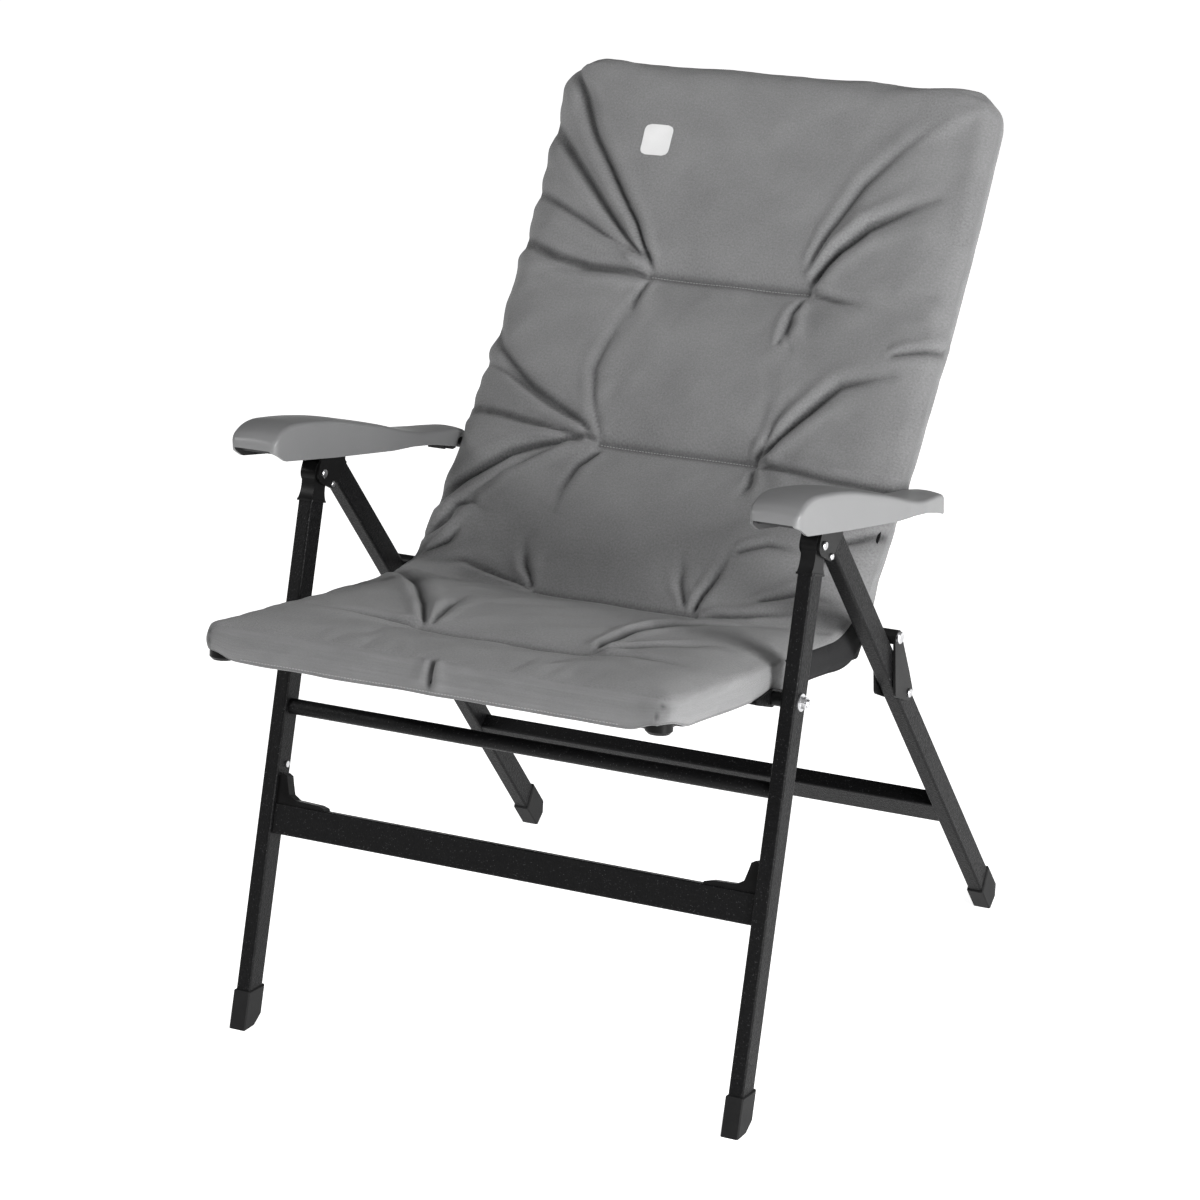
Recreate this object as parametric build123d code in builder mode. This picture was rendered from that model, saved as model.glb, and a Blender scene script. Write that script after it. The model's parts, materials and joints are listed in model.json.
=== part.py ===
from build123d import *
import math
import os

os.makedirs("parts", exist_ok=True)

# Folding reclining armchair, in millimetres.
# Frame: +Z up, -Y towards the front of the seat, +X to the right for someone facing the
# chair from the front, floor at Z = 0, origin under the middle of the chair.

# --- pivots, as (Y, Z) in the side view ---------------------------------------------
TOP = (-136.5, 532.7)  # front legs swing on the rear legs here
SEAT_BOLT = (-184.18, 391.01)  # seat hangs on the front legs here
LINK_LOW = (55.5, 320.2)  # links turn on the rear legs here
HINGE = (29.67, 387.06)  # back and link meet the rear of the seat here
ARM_ABOVE = 12.0  # armrest pivot, above TOP along the rear leg

# --- slopes, in degrees --------------------------------------------------------------
FRONT_LEAN = 18.6
REAR_LEAN = 36.6
SEAT_SLOPE = 9.1
BACK_RECLINE = 39.3

# --- legs and bars --------------------------------------------------------------------
LEG_W = 16.0
LEG_D = 25.0
WALL = 1.2
LEG_X = 277.0  # middle of each leg
LEG_IN = LEG_X - LEG_W / 2
LEG_OUT = LEG_X + LEG_W / 2
REAR_OFFSET = 24.8  # rear leg axis behind TOP
FRONT_TOP = -29.5
FRONT_END = -543.0
REAR_TOP = -30.0
REAR_END = -658.0

# --- seat and back frames ------------------------------------------------------------
RAIL_X = 238.0
RAIL_R = 9.0
RAIL_DROP = 19.5  # seat rail axis below the hinge line
SEAT_FRONT = -411.0  # front tube axis, along the seat from the hinge
BACK_TOP = 530.0  # where the back rails end
ARC_LOW = 270.0  # the back rails bulge most here
ARC_R = 2003.0
PAD_HALF = 249.0

# --- hardware -----------------------------------------------------------------------
BOLT_R = 4.0
RUN = 0.05  # running clearance on the radius
RIVET_R = 3.0


def tilted(x, point, tilt):
    """Side-view plane: local X points rearwards and down by tilt, local Y up along the member."""
    a = math.radians(tilt)
    return Plane(origin=(x, point[0], point[1]), x_dir=(0, math.cos(a), -math.sin(a)), z_dir=(1, 0, 0))


def across(point, tilt, rearward, up):
    """Plane across a member: local X is the chair's X, local Z runs up along the member."""
    a = math.radians(tilt)
    y = point[0] + rearward * math.cos(a) + up * math.sin(a)
    z = point[1] - rearward * math.sin(a) + up * math.cos(a)
    return Plane(origin=(0, y, z), x_dir=(1, 0, 0), z_dir=(0, math.sin(a), math.cos(a)))


def facing(tilt, rearward):
    """Plane seen from the front of a leg: local X is the chair's X, local Y runs up the leg."""
    a = math.radians(tilt)
    y = TOP[0] + rearward * math.cos(a)
    z = TOP[1] - rearward * math.sin(a)
    return Plane(origin=(0, y, z), x_dir=(1, 0, 0), z_dir=(0, -math.cos(a), math.sin(a)))


def front(x):
    return tilted(x, TOP, FRONT_LEAN)


def rear(x):
    return tilted(x, TOP, -REAR_LEAN)


def seat(x):
    return tilted(x, HINGE, SEAT_SLOPE)


def back(x):
    return tilted(x, HINGE, BACK_RECLINE)


def side(x):
    return Plane(origin=(x, 0, 0), x_dir=(0, 1, 0), z_dir=(1, 0, 0))


def write(part, name):
    part.label = name
    export_step(part, "parts/" + name + ".step")


def mirrored(shape):
    with BuildPart() as other:
        mirror(shape, about=Plane.YZ)
    return other.part


def write_pair(part, name):
    write(part, name + "_right")
    write(mirrored(part), name + "_left")


def write_both(part, name):
    """One node that holds the right-hand piece and its mirror image."""
    with BuildPart() as both:
        add(part)
        mirror(part, about=Plane.YZ)
    write(both.part, name)


# ======================================================================================
# Legs
# ======================================================================================
def leg_tube(lean, offset, top, bottom, holes):
    """Rectangular tube with round cross holes at (up, radius)."""
    with BuildPart() as leg:
        with BuildSketch(across(TOP, lean, offset, bottom)):
            with Locations((LEG_X, 0)):
                RectangleRounded(LEG_W, LEG_D, 2.5)
                RectangleRounded(LEG_W - 2 * WALL, LEG_D - 2 * WALL, 1.3, mode=Mode.SUBTRACT)
        extrude(amount=top - bottom)
        for rearward, up, radius in holes:
            with BuildSketch(tilted(LEG_IN - 1, TOP, lean)):
                with Locations((rearward, up)):
                    Circle(radius)
            extrude(amount=LEG_W + 2, mode=Mode.SUBTRACT)
    return leg.part


def local_of(point, lean):
    """(rearward, up) of a side-view point, measured from TOP in a leg's own directions."""
    a = math.radians(lean)
    dy = point[0] - TOP[0]
    dz = point[1] - TOP[1]
    return (dy * math.cos(a) - dz * math.sin(a), dy * math.sin(a) + dz * math.cos(a))


bolt_at = local_of(SEAT_BOLT, FRONT_LEAN)
link_at = local_of(LINK_LOW, -REAR_LEAN)
hinge_at = local_of(HINGE, -REAR_LEAN)
arm_at = (REAR_OFFSET, ARM_ABOVE)

write_pair(leg_tube(FRONT_LEAN, 0, FRONT_TOP, FRONT_END, [(bolt_at[0], bolt_at[1], BOLT_R)]), "front_leg")
write_pair(leg_tube(-REAR_LEAN, REAR_OFFSET, REAR_TOP, REAR_END, [(link_at[0], link_at[1], RIVET_R)]), "rear_leg")


def foot(lean, offset, outline, bottom):
    """Moulded foot: an outlined block that the tube plugs into, cut level with the floor."""
    with BuildPart() as cap:
        with BuildSketch(tilted(LEG_X - 9.5, TOP, lean)):
            with BuildLine():
                Polyline(*[(offset + w, u) for w, u in outline], close=True)
            make_face()
        extrude(amount=19)
        corners = cap.edges().filter_by(Axis.X, reverse=True)
        chamfer(corners.group_by(Axis.X)[0] + corners.group_by(Axis.X)[-1], 1.2)
        with BuildSketch(across(TOP, lean, offset, bottom)):
            with Locations((LEG_X, 0)):
                RectangleRounded(LEG_W, LEG_D, 2.5)
        extrude(amount=60, mode=Mode.SUBTRACT)
        with Locations((LEG_X, 0, -25)):
            Box(60, 1200, 50, mode=Mode.SUBTRACT)
    return cap.part


front_outline = [(-14, -527), (-14, -567.5), (3, -562.5), (14, -550), (14, -520)]
rear_outline = [(-14, -640), (-14, -674), (4, -674), (14, -664), (14, -630)]
write_pair(foot(FRONT_LEAN, 0, front_outline, FRONT_END), "front_foot")
write_pair(foot(-REAR_LEAN, REAR_OFFSET, rear_outline, REAR_END), "rear_foot")


# ======================================================================================
# Cross bars of the two leg frames
# ======================================================================================
def flat_bar(lean, rearward, up, depth, height, wall):
    """Rectangular tube from leg to leg."""
    with BuildPart() as bar:
        with BuildSketch(tilted(-LEG_IN, TOP, lean)):
            with Locations((rearward, up)):
                RectangleRounded(depth, height, 2)
                RectangleRounded(depth - 2 * wall, height - 2 * wall, 0.9, mode=Mode.SUBTRACT)
        extrude(amount=2 * LEG_IN)
    return bar.part


def round_bar(plane_at, half, rearward, up, radius):
    """Round tube across the chair."""
    with BuildPart() as bar:
        with BuildSketch(plane_at(-half)):
            with Locations((rearward, up)):
                Circle(radius)
                Circle(radius - WALL, mode=Mode.SUBTRACT)
        extrude(amount=2 * half)
    return bar.part


write(flat_bar(FRONT_LEAN, -1.5, -349.5, 15, 31, WALL), "front_lower_bar")
write(round_bar(front, LEG_IN, 0, -236, 8), "front_upper_bar")
write(flat_bar(-REAR_LEAN, 22.7, -493.5, 18, 32, WALL), "rear_cross_bar")

# --- moulded corner brace between the lower bar and each front leg
with BuildPart() as gusset:
    with BuildSketch(facing(FRONT_LEAN, 4.5)):
        with BuildLine():
            Polyline(
                (LEG_IN, -334), (LEG_IN, -306), (264, -303.5), (259.5, -306), (257.5, -314),
                (254.5, -324), (247, -328.5), (220, -329.5), (213, -331.5), (212, -334), close=True,
            )
        make_face()
    extrude(amount=12)
write_pair(gusset.part, "corner_brace")

with BuildPart() as brace_rivet:
    with BuildSketch(front(LEG_IN - 1.6)):
        with Locations((4, -295)):
            Circle(3.2)
    extrude(amount=1.6)
write_both(brace_rivet.part, "brace_rivets")


# ======================================================================================
# Moulded leg tops, where each front leg swings on its rear leg
# ======================================================================================
with BuildPart() as front_cap:
    with BuildSketch(front(LEG_IN + 0.3)):
        with BuildLine():
            Polyline((-13, 0), (13, 0))
            Spline((13, 0), (10.6, -11), (10.9, -19), (14, -27))
            Polyline((14, -27), (14, FRONT_TOP), (-14, FRONT_TOP), (-14, -27))
            Spline((-14, -27), (-10.9, -19), (-10.6, -11), (-13, 0))
        make_face()
        Circle(13)
        Circle(RIVET_R + RUN, mode=Mode.SUBTRACT)
    extrude(amount=LEG_W - 0.6)
    with BuildSketch(across(TOP, FRONT_LEAN, 0, FRONT_TOP)):
        with Locations((LEG_X, 0)):
            RectangleRounded(19.6, 28.4, 3)
    extrude(amount=2.2)
write_pair(front_cap.part, "front_leg_cap")

SCREW = (3.0, -21.5)
CHEEK = 2.6
with BuildPart() as rear_cap:
    with BuildSketch(rear(LEG_IN)):
        with BuildLine():
            Polyline(
                (12.4, REAR_TOP), (12.4, -8), (14.4, -4), (14.4, 6), (15.6, 12), (34, 12), (37.2, 4),
                (37.2, REAR_TOP), close=True,
            )
        make_face()
        with Locations(arm_at):
            Circle(9.2)
    extrude(amount=LEG_W)
    for x in (LEG_IN - CHEEK, LEG_OUT):
        with BuildSketch(rear(x)):
            Circle(10.5)
            with Locations(SCREW):
                Circle(4.6)
            with Locations(arm_at):
                Circle(9.2)
            with Locations((33.2, -18)):
                Circle(4)
            make_hull()
        extrude(amount=CHEEK)
    with BuildSketch(rear(LEG_IN - 5)):
        Circle(RIVET_R)
        with Locations(arm_at):
            Circle(RIVET_R)
        with Locations(SCREW):
            Circle(2)
    extrude(amount=30, mode=Mode.SUBTRACT)
write_pair(rear_cap.part, "rear_leg_cap")


def headed_pin(plane_at, place, radius, head_r, head_t, x_low, x_high):
    """Pin along X with a low domed head at each end, the heads inside x_low to x_high."""
    with BuildPart() as pin:
        with BuildSketch(plane_at(x_low + head_t)):
            with Locations(place):
                Circle(radius)
        extrude(amount=x_high - x_low - 2 * head_t)
        for x in (x_low, x_high - head_t):
            with BuildSketch(plane_at(x)):
                with Locations(place):
                    Circle(head_r)
            extrude(amount=head_t)
        chamfer(pin.faces().sort_by(Axis.X)[0].edges() + pin.faces().sort_by(Axis.X)[-1].edges(), head_t * 0.4)
    return pin.part


write_pair(headed_pin(rear, (0, 0), RIVET_R, 4.4, 2.0, LEG_IN - 4.8, LEG_OUT + 4.8), "top_rivet")

# --- short screws, one in each cheek, that end flush inside it so the front leg swings past
SCREW_HEAD = 1.8
with BuildPart() as cheek_screws:
    for shank, head in ((LEG_IN - CHEEK, LEG_IN - CHEEK - SCREW_HEAD), (LEG_OUT, LEG_OUT + CHEEK)):
        with BuildSketch(rear(shank)):
            with Locations(SCREW):
                Circle(2)
        extrude(amount=CHEEK)
        with BuildSketch(rear(head)):
            with Locations(SCREW):
                Circle(3.2)
        extrude(amount=SCREW_HEAD)
    ends = cheek_screws.faces().sort_by(Axis.X)
    chamfer(ends[0].edges() + ends[-1].edges(), SCREW_HEAD * 0.4)
write_both(cheek_screws.part, "cap_screws")
write_both(headed_pin(rear, link_at, RIVET_R, 4.6, 1.8, LEG_IN - 6.0, LEG_OUT + 6.0), "link_rivets")

with BuildPart() as arm_pin:
    with BuildSketch(rear(261.4)):
        with Locations(arm_at):
            Circle(RIVET_R)
    extrude(amount=300 - 261.4)
write_both(arm_pin.part, "armrest_pins")

# ======================================================================================
# Seat bolts through the front legs
# ======================================================================================
with BuildPart() as seat_bolt:
    with BuildSketch(front(253.2)):
        with Locations(bolt_at):
            Circle(BOLT_R)
    extrude(amount=294 - 253.2)
    chamfer(seat_bolt.faces().sort_by(Axis.X)[-1].edges(), 1)
write_both(seat_bolt.part, "seat_bolts")


def ring(plane_at, place, outer, inner, x, length):
    with BuildPart() as collar:
        with BuildSketch(plane_at(x)):
            with Locations(place):
                Circle(outer)
                Circle(inner, mode=Mode.SUBTRACT)
        extrude(amount=length)
    return collar.part


write_both(ring(front, bolt_at, 7, BOLT_R, 256.0, LEG_IN - 256.0), "seat_spacers")
write_both(ring(front, bolt_at, 8.6, BOLT_R, LEG_OUT, 1.4), "seat_washers")

with BuildPart() as seat_nut:
    with BuildSketch(front(LEG_OUT + 1.4)):
        with Locations(bolt_at):
            RegularPolygon(6.4, 6)
            Circle(BOLT_R, mode=Mode.SUBTRACT)
    extrude(amount=5)
write_both(seat_nut.part, "seat_nuts")

# ======================================================================================
# Links from the rear legs to the rear of the seat
# ======================================================================================
with BuildPart() as link:
    for x in (LEG_IN - 4.1, LEG_OUT + 1.5):
        with BuildSketch(rear(x)):
            with Locations(link_at):
                Circle(8.5)
            with Locations(hinge_at):
                Circle(7.5)
            with Locations((link_at[0] - 14, link_at[1] + 24)):
                Circle(7)
            with Locations((link_at[0] + 6, link_at[1] + 20)):
                Circle(8.5)
            make_hull()
        extrude(amount=2.6)
    with BuildSketch(rear(LEG_IN - 4.1)):
        with Locations(hinge_at):
            Circle(7.5)
    extrude(amount=LEG_W + 8.2)
    with BuildSketch(rear(LEG_IN - 6)):
        with Locations(hinge_at):
            Circle(BOLT_R)
        with Locations(link_at):
            Circle(RIVET_R + RUN)
    extrude(amount=LEG_W + 14, mode=Mode.SUBTRACT)
write_pair(link.part, "link_bracket")

with BuildPart() as link_bolt:
    with BuildSketch(rear(LEG_IN - 4.1)):
        with Locations(hinge_at):
            Circle(BOLT_R)
    extrude(amount=LEG_W + 8.2)
    with BuildSketch(rear(LEG_OUT + 4.1)):
        with Locations(hinge_at):
            Circle(6.2)
    extrude(amount=3.6)
    chamfer(link_bolt.faces().sort_by(Axis.X)[-1].edges(), 1.2)
write_pair(link_bolt.part, "link_bolt")

# ======================================================================================
# Seat frame
# ======================================================================================
def along_seat(rearward, up):
    """Plane across the seat's length: local X is the chair's X, local Z runs rearwards."""
    a = math.radians(SEAT_SLOPE)
    y = HINGE[0] + rearward * math.cos(a) + up * math.sin(a)
    z = HINGE[1] - rearward * math.sin(a) + up * math.cos(a)
    return Plane(origin=(0, y, z), x_dir=(1, 0, 0), z_dir=(0, math.cos(a), -math.sin(a)))


def elbow_path(x, reach):
    """Quarter bend from (x, 0) towards (x - reach, reach)."""
    return [(x, 0), (x, reach), (x - reach, reach)]


def under_seat(up):
    """Plane parallel to the seat: local X is the chair's X, local Y runs rearwards."""
    a = math.radians(SEAT_SLOPE)
    y = HINGE[0] + up * math.sin(a)
    z = HINGE[1] + up * math.cos(a)
    return Plane(origin=(0, y, z), x_dir=(1, 0, 0), z_dir=(0, math.sin(a), math.cos(a)))


CORNER = 30.0
KNOB_BOTTOM = -32.5  # round foot of the moulded corner
KNOB_TALL = 22.0
RAIL_START = SEAT_FRONT + CORNER
with BuildPart() as seat_rail:
    with BuildSketch(along_seat(RAIL_START, -RAIL_DROP)):
        with Locations((RAIL_X, 0)):
            Circle(RAIL_R)
            Circle(RAIL_R - WALL, mode=Mode.SUBTRACT)
    extrude(amount=-RAIL_START - 12)
write_pair(seat_rail.part, "seat_rail")

seat_bend = Plane(origin=along_seat(RAIL_START, -RAIL_DROP).origin, x_dir=(1, 0, 0),
                  z_dir=(0, -math.sin(math.radians(SEAT_SLOPE)), -math.cos(math.radians(SEAT_SLOPE))))
with BuildPart() as corner_knob:
    with BuildSketch(under_seat(KNOB_BOTTOM)):
        with Locations((RAIL_X - 2.5, SEAT_FRONT + 3.5)):
            Circle(13)
    extrude(amount=KNOB_TALL)
    chamfer(corner_knob.edges().filter_by(GeomType.CIRCLE), 3)

with BuildPart() as seat_corner:
    with BuildLine(seat_bend):
        FilletPolyline(*elbow_path(RAIL_X, CORNER), radius=13)
    with BuildSketch(along_seat(RAIL_START, -RAIL_DROP)):
        with Locations((RAIL_X, 0)):
            Circle(RAIL_R + 0.6)
    sweep()
    add(corner_knob.part)
write_pair(seat_corner.part, "seat_corner")

write(round_bar(seat, RAIL_X - CORNER, SEAT_FRONT, -RAIL_DROP, RAIL_R), "seat_front_tube")
write(round_bar(seat, RAIL_X - RAIL_R, -205, -RAIL_DROP, 7), "seat_middle_tube")
write(round_bar(seat, RAIL_X - RAIL_R, -34, -RAIL_DROP, 7), "seat_rear_tube")

bolt_seat = (
    (SEAT_BOLT[0] - HINGE[0]) * math.cos(math.radians(SEAT_SLOPE))
    - (SEAT_BOLT[1] - HINGE[1]) * math.sin(math.radians(SEAT_SLOPE)),
    (SEAT_BOLT[0] - HINGE[0]) * math.sin(math.radians(SEAT_SLOPE))
    + (SEAT_BOLT[1] - HINGE[1]) * math.cos(math.radians(SEAT_SLOPE)),
)

# --- bracket under each rail: a plate outside the cover and a foot welded under the rail
with BuildPart() as seat_bracket:
    with BuildSketch(seat(253.2)):
        with Locations(bolt_seat):
            Circle(9)
        with Locations((bolt_seat[0] - 34, -29.5), (bolt_seat[0] + 30, -29.5)):
            Circle(2)
        make_hull()
    extrude(amount=2.6)
    with BuildSketch(seat(231)):
        with Locations((bolt_seat[0] - 22, -29.8)):
            Rectangle(26, 2.6)
    extrude(amount=253.2 - 231)
    with BuildSketch(seat(250)):
        with Locations(bolt_seat):
            Circle(BOLT_R + RUN)
    extrude(amount=8, mode=Mode.SUBTRACT)
write_pair(seat_bracket.part, "seat_bracket")

# --- hinge plate on the rear of each rail, with the pin that the back and the link turn on
with BuildPart() as seat_hinge:
    with BuildSketch(seat(247.05)):
        Circle(8.5)
        with Locations((-10, -RAIL_DROP), (-28, -RAIL_DROP)):
            Circle(6)
        make_hull()
    extrude(amount=2.6)
    with BuildSketch(seat(242)):
        Circle(BOLT_R)
    extrude(amount=264.4 - 242)
    with BuildSketch(seat(242)):
        Circle(6)
    extrude(amount=1.5)
write_pair(seat_hinge.part, "seat_hinge")


# ======================================================================================
# Back frame: rails with a gentle forward curve, joined by tubes
# ======================================================================================
def bulge(up, ahead):
    """Point of the back, ahead of its rear line at a height up from the hinge."""
    return (-(ahead - 10 + (up - ARC_LOW) ** 2 / (2 * ARC_R)), up)


RAIL_LOW = 74.0
low_angle = math.degrees((RAIL_LOW - ARC_LOW) / ARC_R)
with BuildPart() as back_rail:
    with BuildLine(back(RAIL_X)):
        ThreePointArc(bulge(RAIL_LOW, 10), bulge(310, 10), bulge(BACK_TOP, 10))
    start = back(RAIL_X).from_local_coords(Vector(*bulge(RAIL_LOW, 10)))
    lean = math.radians(BACK_RECLINE - low_angle)
    with BuildSketch(Plane(origin=start, x_dir=(1, 0, 0), z_dir=(0, math.sin(lean), math.cos(lean)))):
        Circle(RAIL_R)
        Circle(RAIL_R - WALL, mode=Mode.SUBTRACT)
    sweep()
    with BuildSketch(back(244.0)):
        Circle(8.5)
        with Locations((-9.5, 88), (-8, 112)):
            Circle(7.5)
        make_hull()
        Circle(BOLT_R + RUN, mode=Mode.SUBTRACT)
    extrude(amount=2.7)
write_pair(back_rail.part, "back_rail")

top_angle = BACK_RECLINE - math.degrees((BACK_TOP - ARC_LOW) / ARC_R)
top_lean = math.radians(top_angle)
top_point = back(0).from_local_coords(Vector(*bulge(BACK_TOP, 10)))
top_bend = Plane(origin=top_point, x_dir=(1, 0, 0), z_dir=(0, -math.cos(top_lean), math.sin(top_lean)))
with BuildPart() as back_corner:
    with BuildLine(top_bend):
        FilletPolyline(*elbow_path(RAIL_X, CORNER), radius=24)
    with BuildSketch(Plane(origin=top_point, x_dir=(1, 0, 0), z_dir=(0, math.sin(top_lean), math.cos(top_lean)))):
        with Locations((RAIL_X, 0)):
            Circle(RAIL_R)
    sweep()
write_pair(back_corner.part, "back_corner")


def at_top(x):
    return Plane(origin=(x, top_point.Y, top_point.Z), x_dir=(0, math.cos(top_lean), -math.sin(top_lean)),
                 z_dir=(1, 0, 0))


write(round_bar(at_top, RAIL_X - CORNER, 0, CORNER, RAIL_R), "back_top_tube")
mid = bulge(330, 10)
write(round_bar(back, RAIL_X - RAIL_R, mid[0], mid[1], 7), "back_middle_tube")
low = bulge(104, 10)
write(round_bar(back, RAIL_X - RAIL_R, low[0], low[1], 7), "back_lower_tube")

pin_at = bulge(140, 10)
with BuildPart() as back_pin:
    with BuildSketch(back(RAIL_X + RAIL_R)):
        with Locations(pin_at):
            Circle(5)
    extrude(amount=256.3 - RAIL_X - RAIL_R)
    chamfer(back_pin.faces().sort_by(Axis.X)[-1].edges(), 1)
write_pair(back_pin.part, "back_pin")

# ======================================================================================
# Pads
# ======================================================================================
with BuildPart() as seat_pad:
    with BuildSketch(seat(-PAD_HALF)):
        with BuildLine():
            Polyline((-419, -9.6), (-423, -4), (-421, 2), (-414, 5), (-84, 5), (-31, -3.5), (-30, -9.6), close=True)
        make_face()
    extrude(amount=2 * PAD_HALF)
write(seat_pad.part, "seat_pad")

with BuildPart() as back_pad:
    with BuildSketch(back(-PAD_HALF)):
        with BuildLine():
            rear_face = ThreePointArc(bulge(80, 19.5), bulge(330, 19.5), bulge(574, 19.5))
            front_face = ThreePointArc(bulge(108, 30), bulge(340, 30), bulge(578, 28))
            Polyline(rear_face @ 1, bulge(575, 2), bulge(585, -1), bulge(590, 8), bulge(586, 20), front_face @ 1)
            Polyline(rear_face @ 0, bulge(80, 22.5), front_face @ 0)
        make_face()
    extrude(amount=2 * PAD_HALF)
write(back_pad.part, "back_pad")

# ======================================================================================
# Armrests: hollow mouldings open underneath, with a notched rack under the rear end
# ======================================================================================
ARM_IN = 256.7
ARM_OUT = 310.0
SKIN = 3.0
top_line = [(-236, 597), (-226, 603), (-205, 604.5), (-177, 600), (-123, 587), (-76, 571.5), (-19.5, 551.5),
            (10, 540), (38.5, 530), (78.5, 520.5), (112, 513.5), (129, 507)]
bottom_line = [(135, 497), (131, 488), (124, 487), (100, 496.5), (60, 509), (22, 517.5), (-18, 524),
               (-127, 547.5), (-219, 569), (-237, 583)]
arm_centre = rear(0).from_local_coords(Vector(*arm_at))


def arm_plan(inset, rear_end):
    """Outline from above, drawn in inwards from the outer skin."""
    return [
        (ARM_IN + inset, -260), (ARM_OUT - inset, -260), (ARM_OUT - inset, 10 - inset), (306 - inset, 60),
        (293 - inset, rear_end), (ARM_IN + inset, rear_end),
    ]


with BuildPart() as armrest:
    with BuildSketch(side(ARM_IN)):
        with BuildLine():
            Spline(*top_line)
            Polyline(top_line[-1], *bottom_line, top_line[0])
        make_face()
    extrude(amount=ARM_OUT - ARM_IN)
    with BuildSketch(Plane.XY.offset(470)):
        with BuildLine():
            Polyline(*arm_plan(0, 140), close=True)
        make_face()
    extrude(amount=160, mode=Mode.INTERSECT)
    with BuildSketch(side(ARM_IN + SKIN), mode=Mode.PRIVATE) as hollow_side:
        with BuildLine():
            Spline(*[(y, z - SKIN - 0.6) for y, z in top_line])
            Polyline((129, 507 - SKIN - 0.6), (129, 470), (-236, 470), (-236, 597 - SKIN - 0.6))
        make_face()
    hollow = extrude(hollow_side.sketch, amount=ARM_OUT - ARM_IN - 2 * SKIN, mode=Mode.PRIVATE)
    with BuildSketch(Plane.XY.offset(460), mode=Mode.PRIVATE) as hollow_plan:
        with BuildLine():
            Polyline(*[(x, max(y, -233)) for x, y in arm_plan(SKIN, 127)], close=True)
        make_face()
    hollow = hollow & extrude(hollow_plan.sketch, amount=170, mode=Mode.PRIVATE)
    add(hollow, mode=Mode.SUBTRACT)
    for x, length in ((ARM_IN + SKIN, 264 - ARM_IN - SKIN), (290.5, ARM_OUT - SKIN - 290.5)):
        with BuildSketch(side(x)):
            with Locations((arm_centre.Y, arm_centre.Z)):
                Circle(7)
        extrude(amount=length)
    with BuildSketch(side(261)):
        with Locations((arm_centre.Y, arm_centre.Z)):
            Circle(RIVET_R + RUN)
    extrude(amount=40, mode=Mode.SUBTRACT)
write_pair(armrest.part, "armrest")

TOOTH = 7.0
LOW_TOOTH = 5.0  # the rearmost notches stand out below the wall
rack_teeth = []
for i in range(5):
    y = 34 + i * 17
    root = 522.5 - 0.28 * (y - 34)
    tip = root - TOOTH - (LOW_TOOTH if i > 2 else 0)
    rack_teeth += [(y, root), (y + 3, tip), (y + 9, tip), (y + 12, root - 3)]
with BuildPart() as rack:
    with BuildSketch(side(ARM_IN + SKIN)):
        with BuildLine():
            Polyline((28, 523), *rack_teeth, (122, 492), (126, 492), (126, 501), (28, 527.5), close=True)
        make_face()
    extrude(amount=20)
write_pair(rack.part, "armrest_rack")
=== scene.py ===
import json
import math

import bpy
import numpy as np
from mathutils import Matrix, Vector
from mathutils.bvhtree import BVHTree


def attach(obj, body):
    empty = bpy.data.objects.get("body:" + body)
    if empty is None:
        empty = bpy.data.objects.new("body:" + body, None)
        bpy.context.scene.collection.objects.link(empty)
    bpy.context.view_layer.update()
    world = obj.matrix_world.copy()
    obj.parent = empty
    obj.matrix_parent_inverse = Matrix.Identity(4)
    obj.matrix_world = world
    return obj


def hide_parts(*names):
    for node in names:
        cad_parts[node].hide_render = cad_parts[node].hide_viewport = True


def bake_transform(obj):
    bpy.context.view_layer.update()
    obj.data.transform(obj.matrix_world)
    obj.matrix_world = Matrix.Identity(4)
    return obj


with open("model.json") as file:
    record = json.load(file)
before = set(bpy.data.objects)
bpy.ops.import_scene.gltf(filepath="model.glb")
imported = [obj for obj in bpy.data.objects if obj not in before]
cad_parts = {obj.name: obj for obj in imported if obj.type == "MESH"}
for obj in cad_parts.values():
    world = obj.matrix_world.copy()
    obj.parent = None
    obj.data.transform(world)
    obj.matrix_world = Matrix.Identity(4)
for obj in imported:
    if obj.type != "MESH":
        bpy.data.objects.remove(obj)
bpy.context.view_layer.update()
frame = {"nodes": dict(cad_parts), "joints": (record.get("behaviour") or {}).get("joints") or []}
MM = 0.001

# --- places that come from the frame ----------------------------------------------------
joints = {j["name"]: j for j in frame["joints"]}
HINGE_Y, HINGE_Z = joints["back_recline"]["pos_m"][1:]
SEAT_SLOPE = math.radians(9.1)
BACK_RECLINE = math.radians(39.3)
BULGE_AT = 270 * MM  # height up the back where its rails bulge most
BULGE_RADIUS = 2003 * MM


# ========================================================================================
# Camera, light and floor
# ========================================================================================
CAMERA_PLACE = (1.8165, -3.3603, 1.7196)
CAMERA_ANGLES = (28.779, 19.133, -1.375)  # azimuth, elevation and roll, in degrees
CAMERA_LENS, CAMERA_SENSOR = 119.88, 36  # millimetres
CAMERA_NEAR, CAMERA_FAR = 0.1, 60
WORLD_LIGHT = 0.2
FLOOR_HALF, FLOOR_GLOW = 15.0, 0.85
LIGHT_TARGET = (0, 0, 0.45)
LIGHTS = (
    # name, size, power, place
    ("key", (0.9, 1.5), 112, (2.75, -1.1, 1.05)),
    ("front", (0.7, 0.7), 30, (-2.1, -1.9, 2.0)),
    ("top", (2.0, 2.0), 8, (-1.2, -0.6, 3.0)),
)


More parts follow.
